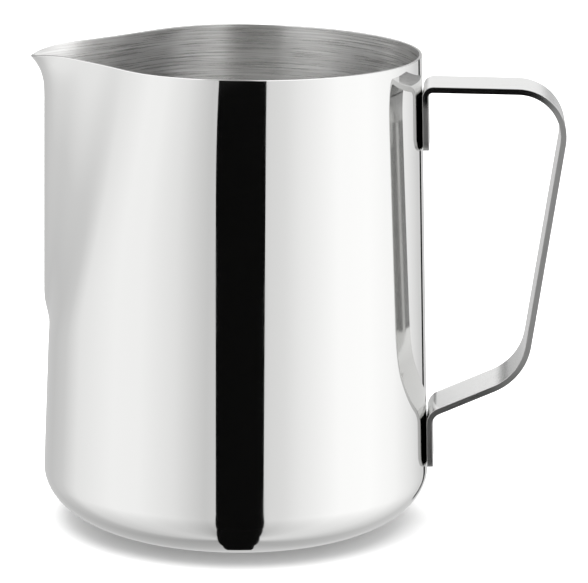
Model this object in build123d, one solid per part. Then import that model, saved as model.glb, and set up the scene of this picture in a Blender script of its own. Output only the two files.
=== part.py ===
from build123d import *
import math
import os

# Milk frothing pitcher: a drawn stainless steel body with a pressed spout, and a bent
# flat-strip handle held on by two pairs of spot welds.
# Millimetres, +Z up. The origin is the centre of the face it stands on, the spout points
# to -X and the handle to +X.

# ---- body ----
body_height = 127.4        # from the base to the rim, at the handle side
rim_radius = 48.0          # outside, at the rim
belly_radius = 52.0        # outside, where the wall meets the base corner
body_wall = 0.8
corner_height = 14.5       # the base corner is a quarter ellipse
corner_width = 22.0
rim_edge_break = 0.15      # small chamfer on both edges of the rim

# ---- spout ----
spout_foot = 50.5          # height where the nose starts
nose_rise = 10.5           # the nose comes out of the wall over this height
nose_foot_out = 1.6        # how far the nose stands out of the wall, just above its foot
nose_top_out = 4.3         # and at the rim, before the lip curls
nose_spread = 12.5         # half width of the nose at the rim, in degrees round the axis
lip_curl = 3.6             # extra reach of the pouring lip at its tip
lip_height = 11.0          # the lip curls outward over this height
lip_power = 3              # and mostly near its top
rim_sag = 0.5              # the rim falls this much in a straight line beside the spout
rim_sag_start = 13.0       # between these two distances from the axis
rim_sag_end = 44.0
lip_drop = 2.5             # and the tip of the lip is lower than the rim by this much
pinch_depth = 5.2          # the flanks beside the nose are pressed in this far at the rim
pinch_angle = 40.0         # from the nose line to the deepest pinch at the rim, in degrees
pinch_spread = 24.0        # half width of the pinch at the rim, in degrees
foot_share = 0.04          # width of the pressed area at its foot, as a share of its height
growth_power = 0.42        # the pressed area widens upward with this power of the height
dimple_depth = 0.6         # slight hollow just under the foot of the nose
dimple_height = 3.0

# ---- handle strap ----
strap_width = 19.0
strap_thickness = 1.6
strap_edge_round = 0.2
top_run_drop = 8.65        # from the rim down to the level top run, on the finger side
grip_top_reach = 38.1      # from the wall to where the top run and the grip would cross
grip_foot_reach = 25.2     # from the wall to where the grip and the arm would cross
grip_foot_z = 43.5         # and the height of that crossing
arm_angle = 24.5           # climb of the lower arm, in degrees
grip_top_bend = 11.3       # inside bend radii
grip_foot_bend = 14.5
upper_tab_bend = 1.2
lower_tab_bend = 3.0
upper_tab_length = 15.95   # from the top run down to the tab's end
lower_tab_gap = 1.9        # from the base corner up to the lower tab's end
tab_corner_round = 4.0
tab_clearance = 0.05       # from a tab's flat face to the round wall, at the middle

# ---- spot welds ----
weld_diameter = 4.5
weld_into_wall = 0.4       # depth of a fused nugget in the body wall
weld_into_tab = 0.8        # and in the tab
weld_pitch = 6.5
weld_margin = 7.0          # from a tab's end to the middle of its pair

taper = (belly_radius - rim_radius) / (body_height - corner_height)
taper_angle = math.degrees(math.atan(taper))
lip_start = body_height - lip_drop - lip_height
raw_height = body_height + 1.5   # the wall is drawn this tall, then trimmed to the rim
top_run_z = body_height - top_run_drop
upper_tab_end = top_run_z - upper_tab_length
lower_tab_end = corner_height + lower_tab_gap


def wall_radius(z):
    """Outer radius of the plain tapered wall."""
    return belly_radius - taper * (z - corner_height)


def smooth_step(t):
    """Rises from 0 to 1 as t does, level at both ends."""
    t = min(1.0, max(0.0, t))
    return t * t * (3.0 - 2.0 * t)


def bell(x):
    """1 at the middle, fading to nothing past 2 on each side."""
    return math.exp(-x * x)


def spout_offset(angle, z):
    """How far the spout's pressing moves the wall outward, at an angle from the nose line."""
    up = max(0.0, (z - spout_foot) / (body_height - spout_foot))
    spread = (foot_share + (1.0 - foot_share) * up) ** growth_power
    lip = max(0.0, (z - lip_start) / lip_height)
    nose = nose_foot_out + (nose_top_out - nose_foot_out) * up
    nose *= smooth_step((z - spout_foot) / nose_rise)
    nose += lip_curl * lip ** lip_power
    nose -= dimple_depth * bell((z - spout_foot) / dimple_height)
    pinch = pinch_depth * up
    nose_shape = bell(angle / (nose_spread * spread))
    pinch_shape = bell((abs(angle) - pinch_angle * spread) / (pinch_spread * spread))
    return nose * nose_shape - pinch * pinch_shape


def wall_point(angle, z, inset):
    """A point of the wall, moved inward by inset, square to the outline at this height."""
    ends = []
    for a in (angle - 0.05, angle + 0.05):
        radius = wall_radius(z) + spout_offset(a, z)
        ends.append(Vector(-radius, 0, z).rotate(Axis.Z, a))
    along = (ends[1] - ends[0]).normalized()
    return (ends[0] + ends[1]) / 2 + Vector(-along.Y, along.X, 0) * inset


# heights of the wall's sections: close together at the nose's foot and at the lip
round_top = spout_foot - 4 * dimple_height
section_heights = [round_top + dimple_height * share for share in (0, 0.25, 0.7, 1.3, 2, 3, 4)]
section_heights += [spout_foot + nose_rise * share for share in (0.25, 0.5, 0.75, 1.1, 1.8)]
long_stretch = lip_start - section_heights[-1]
section_heights += [lip_start - long_stretch * share for share in (0.67, 0.33, 0)]
section_heights += [lip_start + lip_height * share for share in (0.35, 0.7, 1.0)]
section_heights += [raw_height]

# angles of each section's points, close together at the nose and starting at the handle
half_points = 28
section_angles = []
for step in range(-half_points, half_points + 1):
    share = step / half_points
    section_angles.append(math.copysign(180.0 * abs(share) ** 1.8, share))


def closed_face(*lines):
    """The flat face inside a closed outline drawn in X and Y, stood up in X and Z."""
    return Plane.XZ * make_face(Curve() + list(lines))


def wall_solid(inset):
    """Everything inside the wall's surface at this inset, from the base to the raw height."""
    corner = EllipticalCenterArc(
        (belly_radius - corner_width, corner_height),
        corner_width - inset,
        corner_height - inset,
        start_angle=-90,
        arc_size=90,
    )
    joint = (wall_radius(round_top) - inset, round_top)
    lower_face = closed_face(
        Line((0, inset), corner @ 0),
        corner,
        Line(corner @ 1, joint),
        Line(joint, (0, round_top)),
        Line((0, round_top), (0, inset)),
    )
    sections = [Wire(Edge.make_circle(joint[0], Plane.XY.offset(round_top)))]
    for z in section_heights[1:]:
        points = [wall_point(angle, z, inset) for angle in section_angles[:-1]]
        outline = Edge.make_spline(points, periodic=True, parameters=section_angles)
        sections.append(Wire(outline))
    return revolve(lower_face, Axis.Z) + Solid.make_loft(sections)


def above_rim():
    """Everything above the rim line, which is level, then falls to the tip of the lip."""
    tip = (-rim_radius - nose_top_out - lip_curl, body_height - lip_drop)
    far = belly_radius + corner_width
    sky = raw_height + corner_height
    straight = Line((-rim_sag_start, body_height), (-rim_sag_end, body_height - rim_sag))
    lip_arc = TangentArc(straight @ 1, tip, tangent=straight % 1)
    past_tip = lip_arc @ 1 + (lip_arc % 1) * lip_height
    face = closed_face(
        Line((far, body_height), straight @ 0),
        straight,
        lip_arc,
        Line(lip_arc @ 1, past_tip),
        Line(past_tip, (-far, sky)),
        Line((-far, sky), (far, sky)),
        Line((far, sky), (far, body_height)),
    )
    return extrude(face, far, both=True)


def make_body():
    """The drawn shell: tapered wall, rounded base corner, pressed spout and trimmed rim."""
    shell = wall_solid(0) - above_rim() - wall_solid(body_wall)
    rim_low = body_height - lip_drop - 2 * body_wall
    rim_edges = [edge for edge in shell.edges() if edge.bounding_box().min.Z > rim_low]
    rim_edges = [edge for edge in rim_edges if edge.length > 2 * body_wall]
    return chamfer(rim_edges, rim_edge_break)


def tab_line(z, away):
    """A point at height z on the upright line that runs this far outside the wall."""
    return (wall_radius(z) + away / math.cos(math.radians(taper_angle)), z)


def make_strap():
    """The handle: one flat strip, bent four times, with a flat tab at each end."""
    outer = tab_clearance + strap_thickness
    arm_slope = math.tan(math.radians(arm_angle))
    arm_run = (grip_foot_reach - tab_clearance) / (1 + taper * arm_slope)
    finger_side = FilletPolyline(
        tab_line(upper_tab_end, outer),
        tab_line(top_run_z, outer),
        (wall_radius(top_run_z) + grip_top_reach, top_run_z),
        (wall_radius(grip_foot_z) + grip_foot_reach, grip_foot_z),
        tab_line(grip_foot_z - arm_run * arm_slope, tab_clearance),
        tab_line(lower_tab_end, tab_clearance),
        radius=[upper_tab_bend, grip_top_bend, grip_foot_bend, lower_tab_bend + strap_thickness],
    )
    strip = Plane.XZ * make_face(offset(finger_side, strap_thickness, side=Side.LEFT))
    strap = extrude(strip, strap_width / 2, both=True)
    tab_corners = strap.edges().filter_by(lambda edge: is_about(edge.length, strap_thickness))
    strap = fillet(tab_corners, tab_corner_round)
    across = (strap_width, strap_thickness)
    outline = [edge for edge in strap.edges() if not any(is_about(edge.length, size) for size in across)]
    return fillet(outline, strap_edge_round)


def is_about(length, size):
    """Whether an edge has this length."""
    return abs(length - size) < 0.001


def make_weld(height):
    """A fused nugget that joins the wall and a tab, square to both."""
    outward = (math.cos(math.radians(taper_angle)), 0, math.sin(math.radians(taper_angle)))
    on_wall = Plane(origin=(wall_radius(height), 0, height), z_dir=outward)
    length = weld_into_wall + tab_clearance + weld_into_tab
    nugget = Cylinder(weld_diameter / 2, length, align=(Align.CENTER, Align.CENTER, Align.MIN))
    return on_wall * Pos(0, 0, -weld_into_wall) * nugget


pitcher_body = make_body()
handle_strap = make_strap()
nodes = {}
for tab, tab_end in (("upper", upper_tab_end), ("lower", lower_tab_end)):
    for place, side in (("high", 1), ("low", -1)):
        weld = make_weld(tab_end + weld_margin + side * weld_pitch / 2)
        pitcher_body = pitcher_body - weld
        handle_strap = handle_strap - weld
        nodes[f"spot_weld_{tab}_{place}"] = weld
nodes["pitcher_body"] = pitcher_body
nodes["handle_strap"] = handle_strap

os.makedirs("parts", exist_ok=True)
for name, shape in nodes.items():
    export_step(shape, f"parts/{name}.step")
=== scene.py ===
import math

import bpy
from mathutils import Euler, Matrix, Vector


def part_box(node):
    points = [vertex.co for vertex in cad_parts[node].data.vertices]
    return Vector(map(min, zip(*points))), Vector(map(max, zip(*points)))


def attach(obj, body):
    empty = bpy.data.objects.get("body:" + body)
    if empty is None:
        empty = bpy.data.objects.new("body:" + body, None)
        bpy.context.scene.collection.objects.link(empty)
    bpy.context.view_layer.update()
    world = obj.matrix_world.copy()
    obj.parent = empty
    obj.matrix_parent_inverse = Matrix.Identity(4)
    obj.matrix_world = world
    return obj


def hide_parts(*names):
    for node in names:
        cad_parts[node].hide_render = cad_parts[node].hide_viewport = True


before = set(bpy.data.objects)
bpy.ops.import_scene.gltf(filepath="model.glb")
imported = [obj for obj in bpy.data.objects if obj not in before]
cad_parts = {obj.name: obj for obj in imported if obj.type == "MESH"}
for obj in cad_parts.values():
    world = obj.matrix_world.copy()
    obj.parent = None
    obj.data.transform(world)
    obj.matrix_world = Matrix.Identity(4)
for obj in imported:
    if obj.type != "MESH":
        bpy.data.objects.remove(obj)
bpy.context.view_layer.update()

# ---------------------------------------------------------------- pitcher body
# One deep-drawn shell of 0.8 mm 304 stainless steel. Its spout is pressed outward from a
# nose line while the flanks beside it are pushed in, and the rim is trimmed and deburred.
# The outside is buffed to a mirror, the inside keeps the satin of circular brushing.
mm = 0.001
body_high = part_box("pitcher_body")[1]
body_height = body_high[2]
belly_radius = body_high[1]
wall_lean = 4.0 * mm
rim_radius = belly_radius - wall_lean
body_wall = 0.8 * mm
corner_height = 14.5 * mm
corner_width = 22.0 * mm
rim_edge_width = 0.2 * mm

spout_foot = 50.5 * mm
nose_rise = 10.5 * mm
nose_foot_out = 1.6 * mm
nose_top_out = 4.3 * mm
nose_spread = 12.5
lip_curl = 3.6 * mm
lip_height = 11.0 * mm
lip_drop = 2.5 * mm
rim_sag = 0.5 * mm
rim_sag_start = 13.0 * mm
rim_sag_end = 44.0 * mm
pinch_depth = 5.2 * mm
pinch_angle = 40.0
pinch_spread = 24.0
foot_share = 0.04
growth_power = 0.42
dimple_depth = 0.6 * mm
dimple_height = 3.0 * mm

taper = wall_lean / (body_height - corner_height)
lip_start = body_height - lip_drop - lip_height
lip_tip = rim_radius + nose_top_out + lip_curl

turns_round = 256
wall_rows = 90
corner_rows = 18
base_rings = (3.0 * mm, 10.0 * mm, 20.0 * mm)
merge_distance = 0.01 * mm
rim_passes = 3


def wall_radius(z):
    """Outer radius of the plain tapered wall."""
    return belly_radius - taper * (z - corner_height)


def smooth_step(t):
    """Rises from 0 to 1 as t does, level at both ends."""
    t = min(1.0, max(0.0, t))
    return t * t * (3.0 - 2.0 * t)


def bell(x):
    """1 at the middle, fading to nothing past 2 on each side."""
    return math.exp(-x * x)


def spout_offset(angle, z):
    """How far the spout's pressing moves the wall outward, at an angle from the nose line."""
    up = max(0.0, (z - spout_foot) / (body_height - spout_foot))
    spread = (foot_share + (1.0 - foot_share) * up) ** growth_power
    nose = nose_foot_out + (nose_top_out - nose_foot_out) * up
    nose *= smooth_step((z - spout_foot) / nose_rise)
    nose += lip_curl * max(0.0, (z - lip_start) / lip_height) ** 3
    nose -= dimple_depth * bell((z - spout_foot) / dimple_height)
    nose_shape = bell(angle / (nose_spread * spread))
    pinch_shape = bell((angle - pinch_angle * spread) / (pinch_spread * spread))
    return nose * nose_shape - pinch_depth * up * pinch_shape


def rim_height(reach):
    """Height of the rim line, this far from the axis on the spout's side."""
    if reach <= rim_sag_start:
        return body_height
    along = (reach - rim_sag_start) / (rim_sag_end - rim_sag_start)
    fall = rim_sag * along
    if along > 1.0:
        past = (reach - rim_sag_end) / (lip_tip - rim_sag_end)
        straight_fall = rim_sag * (lip_tip - rim_sag_start) / (rim_sag_end - rim_sag_start)
        fall += (lip_drop - straight_fall) * past ** 2
    return body_height - fall


# The profile is drawn by extruding one point from the middle of the base to the rim.
bpy.ops.object.select_all(action="DESELECT")
bpy.ops.mesh.primitive_plane_add(size=1.0 * mm, location=(0, 0, 0))
pitcher = bpy.context.object
pitcher.name = "pitcher_shell"
bpy.ops.object.mode_set(mode="EDIT")
bpy.ops.mesh.merge(type="CENTER")

profile = [(radius, 0.0) for radius in base_rings]
corner_middle = belly_radius - corner_width
corner_turn = math.pi / 2 + math.atan(taper * corner_height / corner_width)
for row in range(corner_rows + 1):
    turn = corner_turn * row / corner_rows
    radius = corner_middle + corner_width * math.sin(turn)
    profile.append((radius, corner_height * (1 - math.cos(turn))))
wall_start = profile[-1][1]
for row in range(1, wall_rows + 1):
    z = wall_start + (body_height - wall_start) * row / wall_rows
    profile.append((wall_radius(z), z))
before = (0.0, 0.0)
for point in profile:
    step = (point[0] - before[0], 0, point[1] - before[1])
    bpy.ops.mesh.extrude_region_move(TRANSFORM_OT_translate={"value": step})
    before = point

# It is spun round the axis, and the seam and the pole are closed.
bpy.ops.mesh.select_all(action="SELECT")
bpy.ops.mesh.spin(steps=turns_round, angle=2 * math.pi, center=(0, 0, 0), axis=(0, 0, 1))
bpy.ops.mesh.select_all(action="SELECT")
bpy.ops.mesh.remove_doubles(threshold=merge_distance)
bpy.ops.mesh.normals_make_consistent(inside=False)
bpy.ops.object.mode_set(mode="OBJECT")

# The spout is pressed: each point moves outward by the die's shape, and the rows above the
# spout's foot are drawn down a little so that the last one follows the rim line.
for vertex in pitcher.data.vertices:
    x, y, z = vertex.co
    angle = abs(math.degrees(math.atan2(y, -x)))
    rim_z = body_height
    for attempt in range(rim_passes):
        rim_reach = (wall_radius(rim_z) + spout_offset(angle, rim_z)) * math.cos(math.radians(angle))
        rim_z = rim_height(rim_reach)
    z -= (body_height - rim_z) * smooth_step((z - spout_foot) / (body_height - spout_foot))
    radius = math.hypot(x, y)
    if z > corner_height and radius > 0:
        new_radius = wall_radius(z) + spout_offset(angle, z)
        vertex.co = (x / radius * new_radius, y / radius * new_radius, z)

# The sheet gets its thickness inwards, and the two edges of the rim are broken.
shell = pitcher.modifiers.new("wall", "SOLIDIFY")
shell.thickness = body_wall
shell.offset = -1
shell.use_even_offset = True
shell.material_offset = 1
shell.material_offset_rim = 2
deburr = pitcher.modifiers.new("rim edge", "BEVEL")
deburr.width = rim_edge_width
deburr.segments = 2
deburr.limit_method = "ANGLE"
deburr.angle_limit = math.radians(60)
deburr.harden_normals = True
for slot in range(3):
    pitcher.data.materials.append(None)
bpy.ops.object.modifier_apply(modifier="wall")
bpy.ops.object.shade_smooth()
bpy.ops.object.modifier_apply(modifier="rim edge")


def linear_colour(hex_code):
    """An sRGB hex colour as the linear colour that a shader takes."""
    channels = [int(hex_code[i:i + 2], 16) / 255 for i in (1, 3, 5)]
    linear = [c / 12.92 if c <= 0.04045 else ((c + 0.055) / 1.055) ** 2.4 for c in channels]
    return (*linear, 1.0)


def add_node(material, kind, settings={}, inputs={}):
    """Adds one node with its settings, and its inputs as values or as links from sockets."""
    node = material.node_tree.nodes.new(kind)
    for name, value in settings.items():
        setattr(node, name, value)
    for name, value in inputs.items():
        if isinstance(value, bpy.types.NodeSocket):
            material.node_tree.links.new(value, node.inputs[name])
        else:
            node.inputs[name].default_value = value
    return node


weld_names = ("spot_weld_upper_high", "spot_weld_upper_low", "spot_weld_lower_high", "spot_weld_lower_low")
print_radius = 2.5 * mm
print_slope = 0.5 * mm
print_depth = 0.15 * mm


def weld_prints(material):
    """1 inside the shallow round prints that the welding electrodes leave, 0 elsewhere."""
    place = add_node(material, "ShaderNodeTexCoord")
    on_side = add_node(material, "ShaderNodeVectorMath", {"operation": "MULTIPLY"}, {
        0: place.outputs["Object"], 1: (0.0, 1.0, 1.0),
    })
    nearest = belly_radius
    for weld_name in weld_names:
        weld_low, weld_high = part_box(weld_name)
        away = add_node(material, "ShaderNodeVectorMath", {"operation": "DISTANCE"}, {
            0: on_side.outputs["Vector"], 1: (0.0, 0.0, (weld_low[2] + weld_high[2]) / 2),
        })
        nearest = add_node(material, "ShaderNodeMath", {"operation": "MINIMUM"}, {
            0: away.outputs["Value"], 1: nearest,
        }).outputs["Value"]
    disc = add_node(material, "ShaderNodeMapRange", {"interpolation_type": "SMOOTHSTEP"}, {
        "Value": nearest, "From Min": print_radius - print_slope, "From Max": print_radius,
        "To Min": 1.0, "To Max": 0.0,
    })
    # Only the wall's handle side and the tabs are marked, not the grip further out.
    axes = add_node(material, "ShaderNodeSeparateXYZ", inputs={"Vector": place.outputs["Object"]})
    handle_side = add_node(material, "ShaderNodeMath", {"operation": "COMPARE"}, {
        0: axes.outputs["X"], 1: belly_radius / 2, 2: belly_radius / 2 + 3 * mm,
    })
    return add_node(material, "ShaderNodeMath", {"operation": "MULTIPLY"}, {
        0: disc.outputs["Result"], 1: handle_side.outputs["Value"],
    }).outputs["Value"]


# Mirror-buffed 304: very clean reflections, with a faint haze in patches as wide as one
# pass of the buffing wheel.
buffing_pass = 18 * mm
mirror = bpy.data.materials.new("mirror_buffed_304_steel")
mirror.use_nodes = True
mirror_shader = mirror.node_tree.nodes["Principled BSDF"]
mirror_shader.inputs["Base Color"].default_value = linear_colour("#EDEDEC")
mirror_shader.inputs["Metallic"].default_value = 1.0
place = add_node(mirror, "ShaderNodeTexCoord")
haze = add_node(mirror, "ShaderNodeTexNoise", inputs={
    "Vector": place.outputs["Object"], "Scale": 1 / buffing_pass, "Detail": 3.0,
})
haze_range = add_node(mirror, "ShaderNodeMapRange", inputs={
    "Value": haze.outputs["Fac"], "From Min": 0.35, "From Max": 0.7, "To Min": 0.02, "To Max": 0.05,
})
mirror.node_tree.links.new(haze_range.outputs["Result"], mirror_shader.inputs["Roughness"])

# Satin 304: brushed round and round, so the scratches run level and the gloss is streaky.
# The scratches of a 180 grit brush are under 0.1 mm wide, too fine to show here, so they
# are drawn 0.45 mm wide.
scratch_length = 22 * mm
scratch_width = 0.45 * mm
scratch_depth = 0.02 * mm
satin = bpy.data.materials.new("satin_brushed_304_steel")
satin.use_nodes = True
satin_shader = satin.node_tree.nodes["Principled BSDF"]
satin_shader.inputs["Metallic"].default_value = 1.0
satin_shader.inputs["Anisotropic"].default_value = 0.95
satin_shader.inputs["Anisotropic Rotation"].default_value = 0.25
place = add_node(satin, "ShaderNodeTexCoord")
axes = add_node(satin, "ShaderNodeSeparateXYZ", inputs={"Vector": place.outputs["Object"]})
round_angle = add_node(satin, "ShaderNodeMath", {"operation": "ARCTAN2"}, {
    0: axes.outputs["Y"], 1: axes.outputs["X"],
})
round_length = add_node(satin, "ShaderNodeMath", {"operation": "MULTIPLY"}, {
    0: round_angle.outputs["Value"], 1: rim_radius,
})
unrolled = add_node(satin, "ShaderNodeCombineXYZ", inputs={
    "X": round_length.outputs["Value"], "Z": axes.outputs["Z"],
})
brush_stretch = add_node(satin, "ShaderNodeMapping", inputs={
    "Vector": unrolled.outputs["Vector"], "Scale": (1 / scratch_length, 1.0, 1 / scratch_width),
})
scratches = add_node(satin, "ShaderNodeTexNoise", inputs={
    "Vector": brush_stretch.outputs["Vector"], "Scale": 1.0, "Detail": 3.0, "Roughness": 0.55,
})
streaks = add_node(satin, "ShaderNodeMapRange", inputs={
    "Value": scratches.outputs["Fac"], "From Min": 0.32, "From Max": 0.68,
})
satin_tone = add_node(satin, "ShaderNodeMix", {"data_type": "RGBA"}, {
    "Factor": streaks.outputs["Result"], 6: linear_colour("#CFCECD"), 7: linear_colour("#FAFAF9"),
})
satin.node_tree.links.new(satin_tone.outputs[2], satin_shader.inputs["Base Color"])
satin_rough = add_node(satin, "ShaderNodeMapRange", inputs={
    "Value": scratches.outputs["Fac"], "From Min": 0.3, "From Max": 0.7,
    "To Min": 0.24, "To Max": 0.34,
})
scratch_bump = add_node(satin, "ShaderNodeBump", inputs={
    "Height": scratches.outputs["Fac"], "Strength": 0.08, "Distance": scratch_depth,
})
round_way = add_node(satin, "ShaderNodeTangent", {"direction_type": "RADIAL", "axis": "Z"})
mark_wall = weld_prints(satin)
print_rough = add_node(satin, "ShaderNodeMath", {"operation": "MULTIPLY_ADD"}, {
    0: mark_wall, 1: 0.15, 2: satin_rough.outputs["Result"],
})
print_dent = add_node(satin, "ShaderNodeBump", {"invert": True}, {
    "Height": mark_wall, "Strength": 0.6, "Distance": print_depth,
    "Normal": scratch_bump.outputs["Normal"],
})
satin.node_tree.links.new(print_rough.outputs["Value"], satin_shader.inputs["Roughness"])
satin.node_tree.links.new(print_dent.outputs["Normal"], satin_shader.inputs["Normal"])
satin.node_tree.links.new(round_way.outputs["Tangent"], satin_shader.inputs["Tangent"])

# The trimmed rim: cut steel, deburred with a fine abrasive that leaves it greyer and
# duller than the wall. Its 120 grit marks are drawn 0.6 mm across, coarser than real.
grit_mark = 0.6 * mm
trimmed = bpy.data.materials.new("deburred_304_steel")
trimmed.use_nodes = True
trimmed_shader = trimmed.node_tree.nodes["Principled BSDF"]
trimmed_shader.inputs["Base Color"].default_value = linear_colour("#A6A6A5")
trimmed_shader.inputs["Metallic"].default_value = 1.0
place = add_node(trimmed, "ShaderNodeTexCoord")
grit = add_node(trimmed, "ShaderNodeTexNoise", inputs={
    "Vector": place.outputs["Object"], "Scale": 1 / grit_mark, "Detail": 2.0,
})
grit_rough = add_node(trimmed, "ShaderNodeMapRange", inputs={
    "Value": grit.outputs["Fac"], "To Min": 0.3, "To Max": 0.5,
})
trimmed.node_tree.links.new(grit_rough.outputs["Result"], trimmed_shader.inputs["Roughness"])

for slot, material in enumerate((mirror, satin, trimmed)):
    pitcher.data.materials[slot] = material
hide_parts("pitcher_body")
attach(pitcher, "root")

# ---------------------------------------------------------------- handle strap
# A flat strip of 19 x 1.6 mm stainless steel, bent four times and rounded at both ends.
# Its broad faces are buffed, and its cut edges are linished and lightly rounded.
strap_low, strap_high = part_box("handle_strap")
strap_width = strap_high[1] - strap_low[1]
strap_thickness = 1.6 * mm
tab_clearance = 0.05 * mm
top_run_z = body_height - 8.65 * mm
grip_top_reach = 38.1 * mm
grip_foot_reach = 25.2 * mm
grip_foot_z = 43.5 * mm
arm_angle = math.radians(24.5)
finger_bends = (1.2 * mm, 11.3 * mm, 14.5 * mm, 3.0 * mm + strap_thickness)
upper_tab_end = top_run_z - 15.95 * mm
lower_tab_end = corner_height + 1.9 * mm
tab_corner = 4.0 * mm
strap_edge = 0.16 * mm
tab_corner_steps = 8
bend_step = math.radians(5)
least_bend_steps = 4


def tab_line(z, away):
    """A point at height z on the upright line that runs this far outside the wall."""
    return Vector((wall_radius(z) + away / math.cos(math.atan(taper)), 0, z))


tab_face = tab_clearance + strap_thickness
arm_run = (grip_foot_reach - tab_clearance) / (1 + taper * math.tan(arm_angle))
finger_line = [
    tab_line(upper_tab_end, tab_face),
    tab_line(top_run_z, tab_face),
    Vector((wall_radius(top_run_z) + grip_top_reach, 0, top_run_z)),
    Vector((wall_radius(grip_foot_z) + grip_foot_reach, 0, grip_foot_z)),
    tab_line(grip_foot_z - arm_run * math.tan(arm_angle), tab_clearance),
    tab_line(lower_tab_end, tab_clearance),
]

# The strip's cross-section stands at the end of the upper tab, on the finger side's line.
bpy.ops.object.select_all(action="DESELECT")
bpy.ops.mesh.primitive_plane_add(size=1.0, location=(0, 0, 0))
strap = bpy.context.object
strap.name = "handle_strip"
run = (finger_line[1] - finger_line[0]).normalized()
to_back = Vector((-run.z, 0, run.x))
for vertex in strap.data.vertices:
    depth = to_back * ((0.5 + vertex.co.x) * strap_thickness)
    vertex.co = finger_line[0] + depth + Vector((0, vertex.co.y * strap_width, 0))

# It is extruded along each straight run and spun round each bend. Each station keeps a
# point of the finger side's line, its direction there, and the length of strip up to it.
bpy.ops.object.mode_set(mode="EDIT")
bpy.ops.mesh.select_all(action="SELECT")
here = finger_line[0]
length = 0.0
stations = []
bend_starts = []
for corner, after, bend in zip(finger_line[1:], finger_line[2:], finger_bends):
    run = (corner - here).normalized()
    next_run = (after - corner).normalized()
    turn = run.angle(next_run)
    run_end = corner - run * bend * math.tan(turn / 2)
    bpy.ops.mesh.extrude_region_move(TRANSFORM_OT_translate={"value": run_end - here})
    side = (next_run - run * run.dot(next_run)).normalized()
    axis = run.cross(next_run).normalized()
    middle = run_end + side * bend
    steps = max(least_bend_steps, round(turn / bend_step))
    bpy.ops.mesh.spin(steps=steps, angle=-turn, center=middle, axis=axis)
    stations.append((here, run, length))
    length += (run_end - here).length
    bend_starts.append(length)
    for step in range(steps + 1):
        turned = Matrix.Rotation(turn * step / steps, 3, axis)
        stations.append((middle + turned @ (run_end - middle), turned @ run, length))
        length += bend * turn / steps
    here = corner + next_run * bend * math.tan(turn / 2)
stations.append((here, next_run, length))
bpy.ops.mesh.extrude_region_move(TRANSFORM_OT_translate={"value": finger_line[-1] - here})
bpy.ops.mesh.select_all(action="SELECT")
bpy.ops.mesh.remove_doubles(threshold=merge_distance / 10)
bpy.ops.mesh.normals_make_consistent(inside=False)

# Both ends get rounded corners.
bpy.ops.mesh.select_mode(type="EDGE")
bpy.ops.mesh.select_all(action="DESELECT")
bpy.ops.object.mode_set(mode="OBJECT")
tab_ends = (finger_line[0], finger_line[-1])
for edge in strap.data.edges:
    a, b = (strap.data.vertices[i].co for i in edge.vertices)
    across_thickness = abs((a - b).length - strap_thickness) < merge_distance
    near_end = min((a - end).length for end in tab_ends) < strap_width * 0.6
    at_end = min(abs((a - end).z) for end in tab_ends) < strap_thickness
    edge.select = across_thickness and near_end and at_end
bpy.ops.object.mode_set(mode="EDIT")
bpy.ops.mesh.bevel(offset=tab_corner, segments=tab_corner_steps, affect="EDGES")
bpy.ops.object.mode_set(mode="OBJECT")

# The broad faces take the first material and the cut edges the second. Then every long
# edge is lightly rounded.
for polygon in strap.data.polygons:
    at_end = any(abs(polygon.center.z - end.z) < tab_corner for end in tab_ends)
    cut_end = at_end and abs(polygon.normal.z) > 0.2
    broad = abs(polygon.normal.y) < 0.02 and not cut_end
    polygon.material_index = 0 if broad else 1
for slot in range(2):
    strap.data.materials.append(None)
edge_round = strap.modifiers.new("edges", "BEVEL")
edge_round.width = strap_edge
edge_round.segments = 3
edge_round.limit_method = "ANGLE"
edge_round.angle_limit = math.radians(40)
edge_round.harden_normals = True
bpy.ops.object.shade_smooth()
bpy.ops.object.modifier_apply(modifier="edges")

# The UV map unbends the strip: U runs along it, and V across its faces and its edges.
strip_map = strap.data.uv_layers.new(name="strip")
for loop in strap.data.loops:
    point = strap.data.vertices[loop.vertex_index].co
    flat = Vector((point.x, 0, point.z))
    on_line, direction, length_there = min(stations, key=lambda station: (flat - station[0]).length)
    past_line = flat - on_line
    depth = past_line.cross(direction).y
    strip_map.data[loop.index].uv = (length_there + past_line.dot(direction), point.y + depth)

# Buffed 304 strip: bright, with a fine lengthwise grain that blurs what it reflects. The
# grain is about 0.05 mm wide, too fine to show, and is drawn 0.25 mm wide.
grain_length = 15 * mm
grain_width = 0.25 * mm
buffed = bpy.data.materials.new("buffed_304_strip")
buffed.use_nodes = True
buffed_shader = buffed.node_tree.nodes["Principled BSDF"]
buffed_shader.inputs["Base Color"].default_value = linear_colour("#D2D2D1")
buffed_shader.inputs["Metallic"].default_value = 1.0
along = add_node(buffed, "ShaderNodeUVMap", {"uv_map": "strip"})
grain_stretch = add_node(buffed, "ShaderNodeMapping", inputs={
    "Vector": along.outputs["UV"], "Scale": (1 / grain_length, 1 / grain_width, 1.0),
})
grain = add_node(buffed, "ShaderNodeTexNoise", inputs={
    "Vector": grain_stretch.outputs["Vector"], "Scale": 1.0, "Detail": 3.0,
})
grain_rough = add_node(buffed, "ShaderNodeMapRange", inputs={
    "Value": grain.outputs["Fac"], "From Min": 0.3, "From Max": 0.7,
    "To Min": 0.10, "To Max": 0.20,
})
mark_strip = weld_prints(buffed)
print_rough = add_node(buffed, "ShaderNodeMath", {"operation": "MULTIPLY_ADD"}, {
    0: mark_strip, 1: 0.2, 2: grain_rough.outputs["Result"],
})
print_dent = add_node(buffed, "ShaderNodeBump", {"invert": True}, {
    "Height": mark_strip, "Strength": 0.6, "Distance": print_depth,
})
buffed.node_tree.links.new(print_rough.outputs["Value"], buffed_shader.inputs["Roughness"])
buffed.node_tree.links.new(print_dent.outputs["Normal"], buffed_shader.inputs["Normal"])

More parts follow.
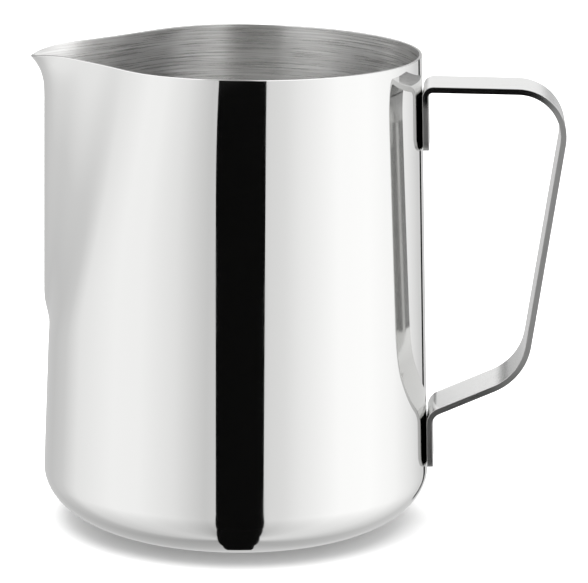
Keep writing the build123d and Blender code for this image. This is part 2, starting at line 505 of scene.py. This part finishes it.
# Linished 304 edge: a 120 grit belt left lines along it, about 0.1 mm wide and drawn
# 0.35 mm wide to show. It is bright on the top run, and duller on the upper tab, down the
# grip and along the arm.
belt_line_length = 6 * mm
belt_line_width = 0.35 * mm
linished = bpy.data.materials.new("linished_304_edge")
linished.use_nodes = True
linished_shader = linished.node_tree.nodes["Principled BSDF"]
linished_shader.inputs["Base Color"].default_value = linear_colour("#C4C4C3")
linished_shader.inputs["Metallic"].default_value = 1.0
along = add_node(linished, "ShaderNodeUVMap", {"uv_map": "strip"})
belt_stretch = add_node(linished, "ShaderNodeMapping", inputs={
    "Vector": along.outputs["UV"], "Scale": (1 / belt_line_length, 1 / belt_line_width, 1.0),
})
belt_lines = add_node(linished, "ShaderNodeTexNoise", inputs={
    "Vector": belt_stretch.outputs["Vector"], "Scale": 1.0, "Detail": 2.0,
})
edge_places = add_node(linished, "ShaderNodeSeparateXYZ", inputs={"Vector": along.outputs["UV"]})
# (where the belt's pressure changes along the strip, over what length, added roughness)
belt_changes = (
    (bend_starts[0] - 4 * mm, 4 * mm, -0.20),
    (bend_starts[1], 14 * mm, 0.36),
    (bend_starts[2], 20 * mm, -0.20),
)
dullness = 0.26
for start, change_length, change in belt_changes:
    step_up = add_node(linished, "ShaderNodeMapRange", {"interpolation_type": "SMOOTHSTEP"}, {
        "Value": edge_places.outputs["X"], "From Min": start, "From Max": start + change_length,
        "To Min": 0.0, "To Max": change,
    })
    dullness = add_node(linished, "ShaderNodeMath", {"operation": "ADD"}, {
        0: step_up.outputs["Result"], 1: dullness,
    }).outputs["Value"]
edge_rough = add_node(linished, "ShaderNodeMath", {"operation": "MULTIPLY_ADD"}, {
    0: belt_lines.outputs["Fac"], 1: 0.16, 2: dullness,
})
linished.node_tree.links.new(edge_rough.outputs["Value"], linished_shader.inputs["Roughness"])

for slot, material in enumerate((buffed, linished)):
    strap.data.materials[slot] = material
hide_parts("handle_strap")
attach(strap, "root")

# ---------------------------------------------------------------- spot welds
# Four nuggets of fused steel, 4.5 mm across, that join the tabs to the wall. Only their
# edges show, in the sliver between a flat tab and the round wall.

# Fused 304: cast rather than rolled, so it is darker and dull, in patches as wide as the
# melt's frozen ripples.
ripple_width = 1.5 * mm
fused = bpy.data.materials.new("fused_304_steel")
fused.use_nodes = True
fused_shader = fused.node_tree.nodes["Principled BSDF"]
fused_shader.inputs["Base Color"].default_value = linear_colour("#8E8A84")
fused_shader.inputs["Metallic"].default_value = 1.0
place = add_node(fused, "ShaderNodeTexCoord")
ripples = add_node(fused, "ShaderNodeTexNoise", inputs={
    "Vector": place.outputs["Object"], "Scale": 1 / ripple_width, "Detail": 2.0,
})
fused_rough = add_node(fused, "ShaderNodeMapRange", inputs={
    "Value": ripples.outputs["Fac"], "To Min": 0.3, "To Max": 0.6,
})
fused.node_tree.links.new(fused_rough.outputs["Result"], fused_shader.inputs["Roughness"])
for weld_name in weld_names:
    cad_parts[weld_name].material_slots[0].material = fused

# ---------------------------------------------------------------- floor and light
# A matt white board is the floor. A lit white tent stands all round it, brighter on the
# handle's side, with dark cloths hung in it for the mirror wall to show.
bpy.ops.object.select_all(action="DESELECT")
floor_size = 12.0
bpy.ops.mesh.primitive_plane_add(size=floor_size, location=(0, 0, 0))
floor = bpy.context.object
floor.name = "floor"
floor.visible_glossy = False
floor_paint = bpy.data.materials.new("white_matt_board")
floor_paint.use_nodes = True
floor_shader = floor_paint.node_tree.nodes["Principled BSDF"]
floor_shader.inputs["Base Color"].default_value = linear_colour("#F7F7F7")
floor_shader.inputs["Roughness"].default_value = 0.9
floor_shader.inputs["Specular IOR Level"].default_value = 0.0
floor.data.materials.append(floor_paint)

tent_radius = 4.0
bpy.ops.object.select_all(action="DESELECT")
bpy.ops.mesh.primitive_uv_sphere_add(segments=64, ring_count=32, radius=tent_radius, location=(0, 0, 0))
tent = bpy.context.object
tent.name = "light_tent"
tent.visible_camera = False
tent_cloth = bpy.data.materials.new("lit_tent_cloth")
tent_cloth.use_nodes = True
tent_cloth.node_tree.nodes.remove(tent_cloth.node_tree.nodes["Principled BSDF"])
place = add_node(tent_cloth, "ShaderNodeTexCoord")
axes = add_node(tent_cloth, "ShaderNodeSeparateXYZ", inputs={"Vector": place.outputs["Object"]})
toward = add_node(tent_cloth, "ShaderNodeMath", {"operation": "MULTIPLY"}, {
    0: axes.outputs["Y"], 1: -1.0,
})
bearing = add_node(tent_cloth, "ShaderNodeMath", {"operation": "ARCTAN2"}, {
    0: axes.outputs["X"], 1: toward.outputs["Value"],
})
bearing_share = add_node(tent_cloth, "ShaderNodeMapRange", inputs={
    "Value": bearing.outputs["Value"], "From Min": -math.pi, "From Max": math.pi,
})
# Stops of (bearing in degrees, from the camera side round towards the handle; brightness):
# the low ones light the outside of the wall, the high ones the handle's top and the inside.
low_stops = (
    (-180, 0.60), (-168, 0.52), (-140, 0.50), (-122, 0.57), (-105, 0.75), (-74, 0.85),
    (-55, 0.84), (-33, 0.73), (-14, 0.55), (16, 0.62), (32, 0.69), (42, 0.78), (67, 0.94),
    (90, 0.96), (112, 0.90), (134, 0.74), (150, 0.58), (170, 0.55),
)
high_stops = (
    (-180, 0.88), (-150, 0.95), (-115, 1.1), (-75, 1.1), (-62, 0.95), (-54, 1.25), (-26, 1.25),
    (-22, 0.25), (13, 0.25), (17, 1.25), (70, 1.3), (88, 0.95), (120, 0.8), (150, 0.88),
)


def glow_round(stops):
    """The tent's brightness by bearing."""
    ramp = add_node(tent_cloth, "ShaderNodeValToRGB", inputs={"Fac": bearing_share.outputs["Result"]})
    elements = ramp.color_ramp.elements
    elements.remove(elements[1])
    elements[0].position = 1.0
    elements[0].color = (stops[0][1], stops[0][1], stops[0][1], 1)
    for degrees, level in stops:
        elements.new((degrees + 180) / 360).color = (level, level, level, 1)
    return ramp.outputs["Color"]


low_glow_top = 0.15
high_glow_bottom = 0.55
shaded_below = -1.6
above = add_node(tent_cloth, "ShaderNodeMapRange", {"interpolation_type": "SMOOTHSTEP"}, {
    "Value": axes.outputs["Z"], "From Min": low_glow_top, "From Max": high_glow_bottom,
})
glow = add_node(tent_cloth, "ShaderNodeMix", {"data_type": "RGBA"}, {
    "Factor": above.outputs["Result"], 6: glow_round(low_stops), 7: glow_round(high_stops),
})
underside = add_node(tent_cloth, "ShaderNodeMapRange", inputs={
    "Value": axes.outputs["Z"], "From Min": -tent_radius, "From Max": shaded_below,
    "To Min": 0.8, "To Max": 1.2,
})
cloth_glow = add_node(tent_cloth, "ShaderNodeEmission", inputs={
    "Color": glow.outputs[2], "Strength": underside.outputs["Result"],
})
cloth_end = tent_cloth.node_tree.nodes["Material Output"]
tent_cloth.node_tree.links.new(cloth_glow.outputs["Emission"], cloth_end.inputs["Surface"])
tent.data.materials.append(tent_cloth)

# The cloths: black felt that takes nearly all light, and a mid-grey one that dims it.
black_cloth = bpy.data.materials.new("black_flag_cloth")
black_cloth.use_nodes = True
black_shader = black_cloth.node_tree.nodes["Principled BSDF"]
black_shader.inputs["Base Color"].default_value = linear_colour("#101010")
black_shader.inputs["Specular IOR Level"].default_value = 0.0

grey_cloth = bpy.data.materials.new("grey_shade_cloth")
grey_cloth.use_nodes = True
grey_shader = grey_cloth.node_tree.nodes["Principled BSDF"]
grey_shader.inputs["Base Color"].default_value = linear_colour("#7C7C7C")
grey_shader.inputs["Specular IOR Level"].default_value = 0.0

# A long black flag hangs below the camera and runs back under the floor: the mirror wall
# shows it as a dark band. A narrow post behind the handle gives the line beside the wall's
# edge, and two grey shades at the back darken the handle's finger side.
# (distance behind the pitcher, height, left edge, right edge) of each crease, in metres
flag_creases = (
    (-1.5, 0.35, -0.285, 0.546),
    (-1.5, 0.02, -0.285, 0.546),
    (-1.5, -0.33, -0.19, 0.545),
    (-1.5, -2.0, -0.27, 0.68),
    (-0.34, -2.0, -0.20, 0.33),
    (0.9, -2.0, -0.155, 0.075),
    (2.0, -2.0, -0.18, -0.06),
)
post_creases = ((1.75, 0.0, 0.62, 0.80), (1.75, -0.9, 0.62, 0.80))
left_shade_creases = ((2.0, 0.62, -3.2, -0.4), (2.0, 0.12, -3.2, -0.4))
right_shade_creases = ((2.0, 0.62, 0.5, 3.2), (2.0, 0.12, 0.5, 3.2))
hung_cloths = (
    ("camera_flag", flag_creases, black_cloth),
    ("handle_post", post_creases, black_cloth),
    ("left_shade", left_shade_creases, grey_cloth),
    ("right_shade", right_shade_creases, grey_cloth),
)
for flag_name, creases, cloth in hung_cloths:
    bpy.ops.object.select_all(action="DESELECT")
    bpy.ops.mesh.primitive_grid_add(x_subdivisions=1, y_subdivisions=len(creases) - 1, size=1.0)
    flag = bpy.context.object
    flag.name = flag_name
    for vertex in flag.data.vertices:
        crease = round((vertex.co.y + 0.5) * (len(creases) - 1))
        y, z, left, right = creases[crease]
        vertex.co = (left if vertex.co.x < 0 else right, y, z)
    flag.visible_camera = False
    flag.visible_diffuse = False
    flag.visible_shadow = False
    flag.data.materials.append(cloth)

# A soft round light over the pitcher, which the steel doesn't mirror.
top_light_height = 2.0
top_light_width = 3.0
top_light_watts = 70
bpy.ops.object.light_add(type="AREA", location=(0, 0, top_light_height))
top_light = bpy.context.object
top_light.name = "top_light"
top_light.data.shape = "DISK"
top_light.data.size = top_light_width
top_light.data.energy = top_light_watts
top_light.visible_glossy = False

studio = bpy.data.worlds.new("white_studio")
bpy.context.scene.world = studio
studio.use_nodes = True
studio.node_tree.nodes["Background"].inputs["Color"].default_value = (1, 1, 1, 1)
studio.node_tree.nodes["Background"].inputs["Strength"].default_value = 1.0
bpy.context.scene.view_settings.view_transform = "Standard"

# ---------------------------------------------------------------- camera
# A long lens from a little above the rim, on the side where the spout points left and the
# handle right.
camera_place = Vector((58.5, -832.6, 258.0)) * mm
camera_tilt = math.radians(90 - 13.197)
camera_turn = math.radians(2.983)
camera_roll = math.radians(0.796)
camera_data = bpy.data.cameras.new("camera")
camera_data.lens = 195.5
camera_data.sensor_width = 36
camera_data.clip_start = 0.01
camera = bpy.data.objects.new("camera", camera_data)
bpy.context.scene.collection.objects.link(camera)
aim = Euler((camera_tilt, 0, camera_turn)).to_matrix() @ Matrix.Rotation(camera_roll, 3, "Z")
camera.matrix_world = Matrix.Translation(camera_place) @ aim.to_4x4()
bpy.context.scene.camera = camera
